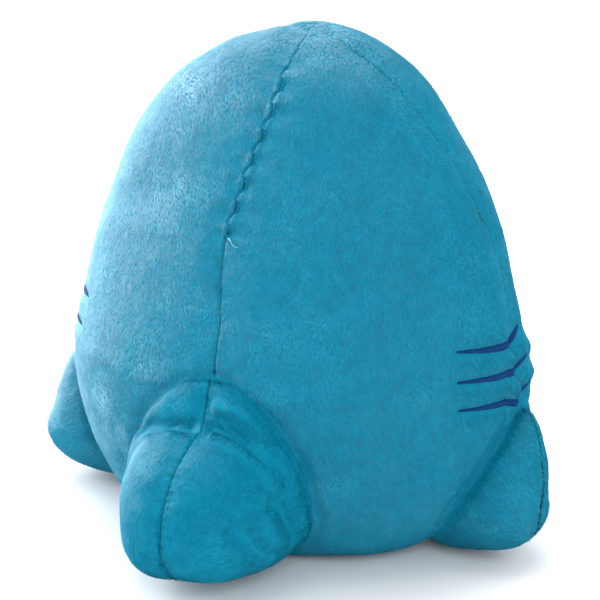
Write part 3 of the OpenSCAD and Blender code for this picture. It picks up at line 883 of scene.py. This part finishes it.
def open_body(p):
    """True on the body's skin outside the tail's and the fins' attachments."""
    x, y, z = p[:, 0], p[:, 1], p[:, 2]
    up = np.where(z > TAIL_MID, TAIL_TOP - TAIL_MID, TAIL_MID)
    tail = ((x / TAIL_ROOT_W) ** 2 + ((z - TAIL_MID) / up) ** 2 < 0.86) & (y > 0)
    rise = np.where(z > FIN_MID, FIN_TOP - FIN_MID, FIN_MID)
    fy = y - BODY_Y + 0.4 * np.maximum(z - FIN_MID, 0)
    fin = ((fy / FIN_T) ** 2 + ((z - FIN_MID) / rise) ** 2 < 0.8) & (np.abs(x) > 30)
    return ~(tail | fin)


def nap_down(p):
    return np.broadcast_to([0.0, 0.0, -1.0], p.shape)


def nap_back(p):
    return np.broadcast_to([0.0, 1.0, 0.0], p.shape)


def nap_tail(p):
    return np.stack([0.1 * p[:, 0] / 30, np.full(len(p), 0.9), np.full(len(p), -0.75)], -1)


def nap_fin(p):
    return np.stack([np.sign(p[:, 0]) * 0.9, np.zeros(len(p)), np.full(len(p), -0.8)], -1)


# Tufts on a square millimetre, and the most in one piece, which keeps it under 200,000 faces.
DENSE = 4.4
MOST_TUFTS = 49500


def pile(
    name, source, nap, materials, seed, keep=None, part=None, density=DENSE, length=1.75, lift=0.35
):
    """A coat of short tufts on a panel: each is a closed three-sided blade lying with the nap."""
    outer, outward, owner = grids[source]
    if part is not None:
        outer, outward = outer[part], outward[part]
    rng = np.random.default_rng(seed)
    a, b, c, d = outer[:-1, :-1], outer[1:, :-1], outer[1:, 1:], outer[:-1, 1:]
    area = np.linalg.norm(np.cross(c - a, d - b), axis=-1).ravel() / 2
    total = area.sum()
    count = int(min(total * density / QUICK**2, MOST_TUFTS))
    pick = np.searchsorted(np.cumsum(area), (np.arange(count) + rng.random(count)) / count * total)
    pick = np.clip(pick, 0, len(area) - 1)
    i, j = np.unravel_index(pick, a.shape[:2])
    s, t = rng.random((2, count, 1))

    def blend(g):
        near = g[i, j] * (1 - s) + g[i + 1, j] * s
        far = g[i, j + 1] * (1 - s) + g[i + 1, j + 1] * s
        return near * (1 - t) + far * t

    p, n = blend(outer), unit(blend(outward))
    stay = ~bare(p)
    if keep is not None:
        stay &= keep(p)
    p, n = p[stay], n[stay]
    count = len(p)
    # brushed patches, where the tips stand up, lie across the nap and look paler
    patch = noise(p, 17, 81) * 0.75 + noise(p, 6, 82) * 0.5
    brushed = smooth(patch, -0.2, 0.9)
    way = nap(p)
    way = unit(way - n * dot(way, n)[:, None])
    across = np.cross(n, way)
    turn = 0.7 * noise(p, 13, 83) + 0.5 * noise(p, 5, 84) + rng.normal(0, 0.3, count)
    turn = turn + brushed * 0.8 * np.tanh(2.5 * noise(p, 14, 85))
    way = way * np.cos(turn)[:, None] + across * np.sin(turn)[:, None]
    across = np.cross(n, way)
    lean = np.radians(4 + 5 * brushed + rng.normal(0, 2, count))
    long = length * (0.75 + 0.5 * rng.random(count))
    wide = 0.5 * (0.75 + 0.5 * rng.random(count))
    tip = p + (way * np.cos(lean)[:, None] + n * np.sin(lean)[:, None]) * long[:, None]
    root = p - n * 0.12
    left = root - across * wide[:, None] / 2
    right = root + across * wide[:, None] / 2
    crest = p + n * (0.03 + 0.15 * wide)[:, None] + way * 0.2
    verts = np.stack([left, right, crest, tip], 1).reshape(-1, 3)
    base = np.arange(count)[:, None, None] * 4
    faces = (base + np.array([[0, 1, 3], [1, 2, 3], [2, 0, 3], [1, 0, 2]])).reshape(-1, 3)
    shade = 0.2 + 0.36 * brushed + rng.normal(0, 0.09, count) * (1 + brushed)
    shade = shade + 0.12 * noise(p, 2.2, 86)
    slots = np.clip((shade * len(SHADES)).astype(int), 0, len(SHADES) - 1)
    ob = add_mesh(name, verts, faces, owner, materials, slots=np.repeat(slots, 4))
    # light falls on the coat as on one soft surface: each tuft tips it a little, and low on the
    # toy the nap tips it up
    tip_by = rng.normal(0, 0.06, (2, count, 1)) * (1 + brushed)[:, None]
    rise = (0.1 + lift * smooth(75 - p[:, 2], 0, 45))[:, None]
    soft = unit(n + tip_by[0] * across + tip_by[1] * way - rise * way)
    ob.data.normals_split_custom_set_from_vertices(np.repeat(soft, 4, axis=0))


for k, source in enumerate(("back_panel_left", "back_panel_right", "front_panel")):
    name = source.replace("panel", "pile")
    columns = grids[source][0].shape[0]
    half = columns // 2
    pile(name + "_a", source, nap_down, blue_pile, 20 + 2 * k, open_body, slice(0, half + 1))
    pile(name + "_b", source, nap_down, blue_pile, 21 + 2 * k, open_body, slice(half, columns))
pile("belly_pile", "belly_panel", nap_down, pale_pile, 5)
pile("base_pile", "base_panel", nap_back, pale_pile, 6, density=2.2, length=1.2)
for k, (_, word) in enumerate(SIDES):
    pile(f"tail_pile_{word}", f"tail_panel_{word}", nap_tail, tail_pile, 7 + k, lift=0.0)
for k, (_, word) in enumerate(SIDES):
    for m, face in enumerate(("back", "front")):
        name = f"fin_{word}_{face}"
        pile(name + "_pile", name + "_panel", nap_fin, blue_pile, 9 + 2 * k + m, lift=0.0)

# ---------------------------------------------------------------- threads


def frames(path, out):
    """Directions along, out of and across a path."""
    along = unit(np.gradient(path, axis=0))
    out = unit(out - along * dot(out, along)[:, None])
    return along, out, np.cross(along, out)


def tubes(name, owner, paths, outs, radius, material, slots=None):
    """Closed round threads, one along each path, as one object."""
    sides = 6
    verts, faces, shades, base = [], [], [], 0
    angles = np.linspace(0, 2 * np.pi, sides, endpoint=False)
    for number, (path, out) in enumerate(zip(paths, outs)):
        m = len(path)
        along, out, across = frames(path, out)
        ring = path[:, None] + radius * (
            np.cos(angles)[None, :, None] * out[:, None]
            + np.sin(angles)[None, :, None] * across[:, None]
        )
        verts.append(ring.reshape(-1, 3))
        verts.append(path[[0, -1]] + along[[0, -1]] * np.array([[-1], [1]]) * radius * 0.6)
        i, j = np.meshgrid(np.arange(m - 1), np.arange(sides), indexing="ij")
        a, b = i * sides + j, i * sides + (j + 1) % sides
        quad = np.stack([a, b, b + sides, a + sides], -1).reshape(-1, 4)
        k = np.arange(sides)
        first, last, end = m * sides, m * sides + 1, (m - 1) * sides
        start = np.stack([np.full(sides, first), (k + 1) % sides, k], -1)
        finish = np.stack([np.full(sides, last), end + k, end + (k + 1) % sides], -1)
        tri = np.vstack([quad[:, [0, 1, 2]], quad[:, [0, 2, 3]], start, finish])
        faces.append(tri + base)
        shades.append(np.full(len(tri), slots[number] if slots else 0))
        base += m * sides + 2
    ob = add_mesh(
        name + "_stitches", np.vstack(verts), np.vstack(faces), owner, material,
        slots=np.concatenate(shades),
    )
    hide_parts(name)


def surface_normal(function, a, b, flip=False):
    """Outward direction of a skin function at its parameters."""
    da = function(a + 0.3, b) - function(a - 0.3, b)
    db = function(a, b + 0.3) - function(a, b - 0.3)
    n = unit(np.cross(da, db))
    return -n if flip else n


def stitched_seam(name, owner, points, normals, material, depth=2.05, skip=None):
    """Machine stitches lying in a seam, each dipping into the fabric at both ends."""
    pitch = 3.0
    length = length_along(points)
    paths, outs = [], []
    for start in np.arange(2.0, length[-1] - 3.0, pitch):
        t = start + np.linspace(0, pitch * 0.86, 7)
        p = along_path(t, length, points)
        n = unit(along_path(t, length, normals))
        if skip is not None and skip(p[3][2]):
            continue
        sink = depth + 0.55 * np.linspace(-1, 1, 7) ** 4
        paths.append(p - n * sink[:, None])
        outs.append(n)
    tubes(name, owner, paths, outs, THREAD_R, material)


def under_back_seam(z):
    """Heights at which the back seam is closed by hand, or lies inside the tail."""
    return CLOSING[0] - 2 < z < CLOSING[1] + 2 or z < TAIL_TOP


def under_side_seam(z):
    """Heights at which a side seam lies inside a fin."""
    return z < FIN_TOP - 2


e = np.linspace(-84, 88, 300)
for name, u, skip in (
    ("back_seam_thread", REAR, under_back_seam),
    ("side_seam_thread_left", LEFT, under_side_seam),
    ("side_seam_thread_right", RIGHT, under_side_seam),
):
    normals = surface_normal(skin, np.full(300, u), e)
    stitched_seam(name, "body", skin(u, e), normals, blue_thread, skip=skip)
u, e = belly_edge(np.linspace(4, 176, 220))
normals = surface_normal(skin, u, e)
stitched_seam("belly_seam_thread", "body", skin(u, e), normals, pale_thread)
points = skin(np.linspace(95, 445, 300), -90.0)
normals = unit(points - np.array([0, BODY_Y, 12.0]))
stitched_seam("base_seam_thread", "body", points, normals, pale_thread)


def edge_seam(surface, flip=False):
    """Points and directions of a seam out along a limb's top and back along its underside."""
    s = np.linspace(2, 88, 120)
    w = np.repeat([90.0, -90.0], 120)
    s = np.concatenate([s, s[::-1]])
    return surface(w, s), surface_normal(surface, w, s, flip=flip)


LIMB_DEPTH = 1.95
points, normals = edge_seam(tail_skin, flip=True)
stitched_seam("tail_seam_thread", "tail", points, normals, blue_thread, depth=LIMB_DEPTH)
points, normals = edge_seam(fin_skin)
for side, word in SIDES:
    mirror = FLIP if side < 0 else np.ones(3)
    stitched_seam(
        f"fin_{word}_seam_thread", f"fin_{word}", points * mirror, normals * mirror,
        blue_thread, depth=LIMB_DEPTH,
    )


def body_surface(u, z):
    """Points and outward directions on the body's finished skin."""
    u, z = np.broadcast_arrays(np.asarray(u, float), np.asarray(z, float))
    p = at_height(u, z)
    n = surface_normal(at_height, u, z)
    return p + n * body_relief(p)[..., None], n


# The ladder stitches that close the back seam, then the knot and the short end of the thread.
heights = np.arange(CLOSING[0], CLOSING[1] + 0.1, 0.35)
phase = (heights - CLOSING[0]) / CLOSING_STEP
swing = np.tanh(3.2 * np.sin(2 * np.pi * phase)) * 1.35
middle_u = REAR + np.degrees(swing / np.maximum(level(heights)[0], 5))
path, out = body_surface(middle_u, heights)
path = path + out * (0.15 + 0.75 * np.exp(-((swing / 0.7) ** 2)))[:, None]
knot_at, knot_out = body_surface(np.array([REAR + 0.6]), np.array([CLOSING[0] - 0.6]))
knot_at, knot_out = knot_at[0] + knot_out[0] * 1.3, knot_out[0]
side_way = unit(np.cross(knot_out, np.array([0, 0, 1.0])))
up_way = np.cross(side_way, knot_out)
a = np.linspace(0, 5 * np.pi, 46)
coil = knot_at + (
    np.cos(a)[:, None] * side_way * 0.75 + np.sin(a)[:, None] * up_way * 0.6
    + (0.25 * np.sin(a * 1.37))[:, None] * knot_out
)
f = np.linspace(0, 1, 16)[:, None]
loose = coil[-1] + f * (-side_way * 4.6 - up_way * 2.6)
loose = loose + np.sin(f * 3.0) * knot_out * 0.9 + np.sin(f * 7) * up_way * 0.35
tubes(
    "closing_stitch", "body", [path, coil, loose],
    [out, np.broadcast_to(knot_out, coil.shape), np.broadcast_to(knot_out, loose.shape)],
    THREAD_R, [blue_thread, pale_thread], slots=[0, 0, 1],
)

# ---------------------------------------------------------------- satin stitching


def satin(name, u, z, half, seed, crown=0.9):
    """Threads side by side across a line, each arching over it, as embroidered satin stitch."""
    rng = np.random.default_rng(seed)
    path, out = body_surface(u, z)
    length = length_along(path)
    paths, outs = [], []
    f = np.linspace(-1, 1, 7)
    for t in np.arange(0, length[-1], SATIN_PITCH):
        p = along_path(t, length, path)
        n = unit(along_path(t, length, out))
        along = unit(along_path(t + 0.5, length, path) - along_path(t - 0.5, length, path))
        across = unit(np.cross(n, along))
        w = np.interp(t, length, half) * (1 + rng.normal(0, 0.05))
        slant = 0.28 + rng.normal(0, 0.05)
        arch = np.sqrt(np.maximum(0, 1 - f**2 * 0.92))
        lift = (crown * min(1, 0.45 + w * 0.45) + 0.35) * arch - 0.35
        aside = (f * w)[:, None] * across + (f * w * slant)[:, None] * along
        paths.append(p + aside + lift[:, None] * n)
        outs.append(np.broadcast_to(n, (7, 3)))
    tubes(name, "body", paths, outs, SATIN_R, navy_thread)


for number, (row, side, rear) in enumerate(gills):
    u, z, f = gill_line(row, side, rear)
    word = dict(SIDES)[side]
    name = f"gill_{GILL_NAMES[row]}_{word}_{'rear' if rear else 'front'}"
    half_width = 1.4 * (1 - 0.86 * f ** (1.5 if side < 0 else 3.5))
    satin(name, u, z, half_width, 100 + number)

u = np.linspace(FRONT - MOUTH_TURN, FRONT + MOUTH_TURN, 120)
f = np.abs(np.linspace(-1, 1, 120))
satin("mouth_stitching", u, mouth_z(u), 0.95 * (1 - 0.65 * f**3), 60, crown=1.3)

# ---------------------------------------------------------------- teeth, eyes and filling

TEETH = 6
reach = MOUTH_TURN * 0.78
k = np.linspace(0, TEETH, TEETH * 16 + 1)
point = 1 - np.abs(2 * (k % 1) - 1)
u = FRONT - reach + 2 * reach * k / TEETH
top = mouth_z(u) - 0.1
low = top - 1.6 - 5.2 * point**0.92 * (1 - 0.35 * ((u - FRONT) / reach) ** 2)
v = np.linspace(0, 1, 12)
Z = low[:, None] + (top - low)[:, None] * v[None, :]
p, n = body_surface(np.repeat(u[:, None], 12, 1), Z)
edge_round = np.minimum(v * 8, 1)[None, :] ** 0.5
lift = 0.75 + 0.45 * edge_round + 0.1 * noise(p, 1.2, 90)
outer = p + n * lift[..., None]
panel("tooth_strip", "body", outer, n, np.zeros(outer.shape[:2]), felt, thick=FELT)


def filling(name, owner, surface, around, vs, depth, flip, seed):
    """A lumpy mass of fibre inside a fabric cover, closed at both ends."""
    p, n = lay_panel(surface, np.linspace(0, 360, around, endpoint=False), vs, flip)
    p = p - n * (depth + 0.6 * noise(p, 7, seed) + 0.3 * noise(p, 3, seed + 1))[..., None]
    m, r = p.shape[:2]
    i, j = np.meshgrid(np.arange(m), np.arange(r - 1), indexing="ij")
    nxt = (i + 1) % m
    quad = np.stack([i * r + j, nxt * r + j, nxt * r + j + 1, i * r + j + 1], -1).reshape(-1, 4)
    verts = np.vstack([p.reshape(-1, 3), p[:, 0].mean(0), p[:, -1].mean(0)])
    k = np.arange(m)
    q = (k + 1) % m
    ends = np.vstack([
        np.stack([np.full(m, m * r), q * r, k * r], -1),
        np.stack([np.full(m, m * r + 1), k * r + r - 1, q * r + r - 1], -1),
    ])
    tri = np.vstack([quad[:, [0, 1, 2]], quad[:, [0, 2, 3]], ends])
    if flip:
        tri = tri[:, ::-1]
    ob = add_mesh(name + "_fibre", verts, tri, owner, fibre)
    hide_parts(name)
    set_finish(ob, "polyester_stuffing")
    return ob


fills = [
    (filling("body_stuffing", "body", skin, 120, np.linspace(-84, 86, 90), 5.5, False, 95), 0.9),
    (filling("tail_stuffing", "tail", tail_skin, 60, np.linspace(3, 84, 34), 4.6, True, 96), 0.75),
]
for side, word in SIDES:
    def surface(w, s, mirror=FLIP if side < 0 else np.ones(3)):
        return fin_skin(w, s) * mirror

    name, inside = f"fin_{word}", np.linspace(3, 82, 24)
    ob = filling(name + "_stuffing", name, surface, 48, inside, 4.2, side < 0, 97)
    fills.append((ob, 0.8))

for _, word in SIDES:
    for name, material in ((f"eye_{word}", eye_black), (f"eye_washer_{word}", washer_white)):
        node = frame["nodes"][name]
        node.data.materials.clear()
        node.data.materials.append(material)

for ob in bpy.data.objects:
    if ob.type != "MESH" or "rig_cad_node" in ob or "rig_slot" in ob:
        continue
    first = ob.data.materials[0].name
    if first.startswith("blue"):
        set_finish(ob, "blue_pile_fabric")
    elif first.startswith("pale"):
        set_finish(ob, "pale_pile_fabric")
    elif first.startswith("gill"):
        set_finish(ob, "gill_thread")
    elif first.startswith("tooth"):
        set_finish(ob, "tooth_felt")
    else:
        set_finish(ob, "seam_thread")

# ---------------------------------------------------------------- camera, floor and light

AZ, EL, DISTANCE = math.radians(208.0), math.radians(19.0), 0.9
away = Vector((math.sin(AZ) * math.cos(EL), -math.cos(AZ) * math.cos(EL), math.sin(EL)))
target = Vector((0, -0.0205, 0.0744))
camera = bpy.data.objects.new("camera", bpy.data.cameras.new("camera"))
bpy.context.scene.collection.objects.link(camera)
camera.location = target + away * DISTANCE
camera.rotation_euler = (-away).to_track_quat("-Z", "Y").to_euler()
camera.data.sensor_width = 36
camera.data.lens = 161.2
camera.data.clip_start = 0.05
bpy.context.scene.camera = camera

floor_mesh = bpy.data.meshes.new("floor")
floor_mesh.from_pydata([(-4, -4, 0), (4, -4, 0), (4, 4, 0), (-4, 4, 0)], [], [(0, 1, 2, 3)])
floor = bpy.data.objects.new("floor", floor_mesh)
floor.data.materials.append(principled("floor", (0.93, 0.935, 0.94), 0.9))
bpy.context.scene.collection.objects.link(floor)
floor.visible_glossy = False

towards_camera = Vector((away.x, away.y, 0)).normalized()
to_right = Vector((-away.y, away.x, 0)).normalized()


def area_light(name, right, near, up, size, power_w):
    """A square soft light, placed from the toy's middle as the camera sees it, in metres."""
    place = target + to_right * right + towards_camera * near + Vector((0, 0, up))
    data = bpy.data.lights.new(name, "AREA")
    data.size = size
    data.energy = power_w
    ob = bpy.data.objects.new(name, data)
    ob.location = place
    ob.rotation_euler = (target - place).to_track_quat("-Z", "Y").to_euler()
    bpy.context.scene.collection.objects.link(ob)
    return ob


# Five lights light the toy without a shine.
for values in (
    ("light_left", -0.95, -0.1, 0.35, 0.8, 8.5),
    ("light_left_back", -0.55, -0.8, 0.5, 0.8, 6.0),
    ("light_right_back", 0.75, -0.65, 0.35, 0.7, 5.0),
    ("light_top", 0.0, -0.2, 1.1, 0.9, 6.0),
    ("light_camera", 0.5, 1.2, 0.7, 0.9, 9.5),
):
    area_light(*values).visible_glossy = False
# Two more behind it only put a soft shine on the pile that faces away from the camera.
for values in (
    ("shine_left", -0.95, -0.85, 0.3, 1.5, 125.0),
    ("shine_top", -0.1, -0.7, 1.0, 0.8, 16.0),
):
    area_light(*values).visible_diffuse = False

world = bpy.data.worlds.new("world")
bpy.context.scene.world = world
world.use_nodes = True
background = world.node_tree.nodes["Background"]
background.inputs["Color"].default_value = (1, 1, 1, 1)
background.inputs["Strength"].default_value = 0.7
world.cycles_visibility.glossy = False
bpy.context.scene.view_settings.view_transform = "Standard"
